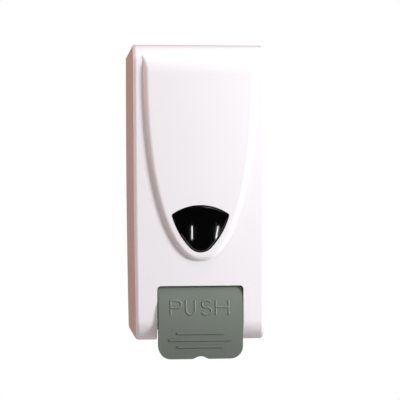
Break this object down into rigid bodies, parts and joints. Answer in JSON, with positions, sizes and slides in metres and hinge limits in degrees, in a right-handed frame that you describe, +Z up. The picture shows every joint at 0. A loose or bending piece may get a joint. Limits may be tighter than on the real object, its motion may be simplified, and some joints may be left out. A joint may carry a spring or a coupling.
{
  "type": "wall mounted soap dispenser",
  "caption": "Tall white wall soap dispenser with a smoked level window, a raised shield front and a grey-green push lever below.",
  "frame": {"origin": "middle of the wall screw pattern on the wall face, at mid height of the cover", "axes": "+X to the right as seen from the front, +Y into the wall, +Z up; the front faces -Y"},
  "size_m": [0.119, 0.111, 0.2665],
  "materials": {
    "white_plastic": "smooth gloss moulding",
    "lever_plastic": "fine satin texture",
    "smoked_lens": "polished smoked acrylic",
    "grey_plastic": "fine matt moulding",
    "dark_plastic": "satin moulding",
    "natural_plastic": "unpigmented moulding",
    "tank_plastic": "translucent blow moulding",
    "rubber": "matt",
    "stainless": "ground",
    "spring_steel": "drawn wire",
    "zinc_steel": "bright zinc plate",
    "lock_metal": "satin chrome"
  },
  "bodies": {
    "chassis": {"back_plate": "grey_plastic", "pump_bracket": "grey_plastic", "bracket_screws": "zinc_steel", "cover_hinge_pins": "stainless", "lever_pivot_pin": "stainless", "pivot_clips": "spring_steel", "lever_return_springs": "spring_steel", "reservoir": "tank_plastic", "reservoir_lid": "white_plastic", "reservoir_lid_seal": "rubber", "neck_gasket": "rubber", "pump_collar_nut": "dark_plastic", "pump_body": "natural_plastic", "inlet_valve_ball": "stainless", "outlet_nozzle": "dark_plastic", "outlet_valve": "rubber", "plunger_spring": "spring_steel"},
    "cover": {"front_cover": "white_plastic", "window_lens": "smoked_lens", "window_gasket": "rubber", "window_retainer": "dark_plastic", "window_screws": "zinc_steel", "lock_housing": "dark_plastic", "lock_nut": "zinc_steel"},
    "lock_cam": {"lock_plug": "lock_metal", "lock_tongue": "zinc_steel", "lock_screw": "zinc_steel"},
    "lever": {"push_lever": "lever_plastic"},
    "plunger": {"pump_plunger": "natural_plastic", "plunger_seal": "rubber"}
  },
  "joints": [
    {"name": "cover_swing", "type": "hinge", "parent": "chassis", "child": "cover", "pos_m": [0, -0.0095, -0.1179], "axis": [1, 0, 0], "range_deg": [0, 90]},
    {"name": "lock_turn", "type": "hinge", "parent": "cover", "child": "lock_cam", "pos_m": [0, -0.022, 0.11], "axis": [0, 0, 1], "range_deg": [0, 90]},
    {"name": "lever_press", "type": "hinge", "parent": "chassis", "child": "lever", "pos_m": [0, -0.084, -0.068], "axis": [1, 0, 0], "range_deg": [0, 14], "stiffness_Nm_per_rad": 2, "springref_deg": -11.46, "deforming": ["lever_return_springs"]},
    {"name": "plunger_stroke", "type": "slide", "parent": "chassis", "child": "plunger", "axis": [0, 1, 0], "range_m": [0, 0.0079], "deforming": ["plunger_spring"]}
  ],
  "couplings": [
    {"joint": "plunger_stroke", "follows": "lever_press", "m_per_rad": 0.032}
  ]
}
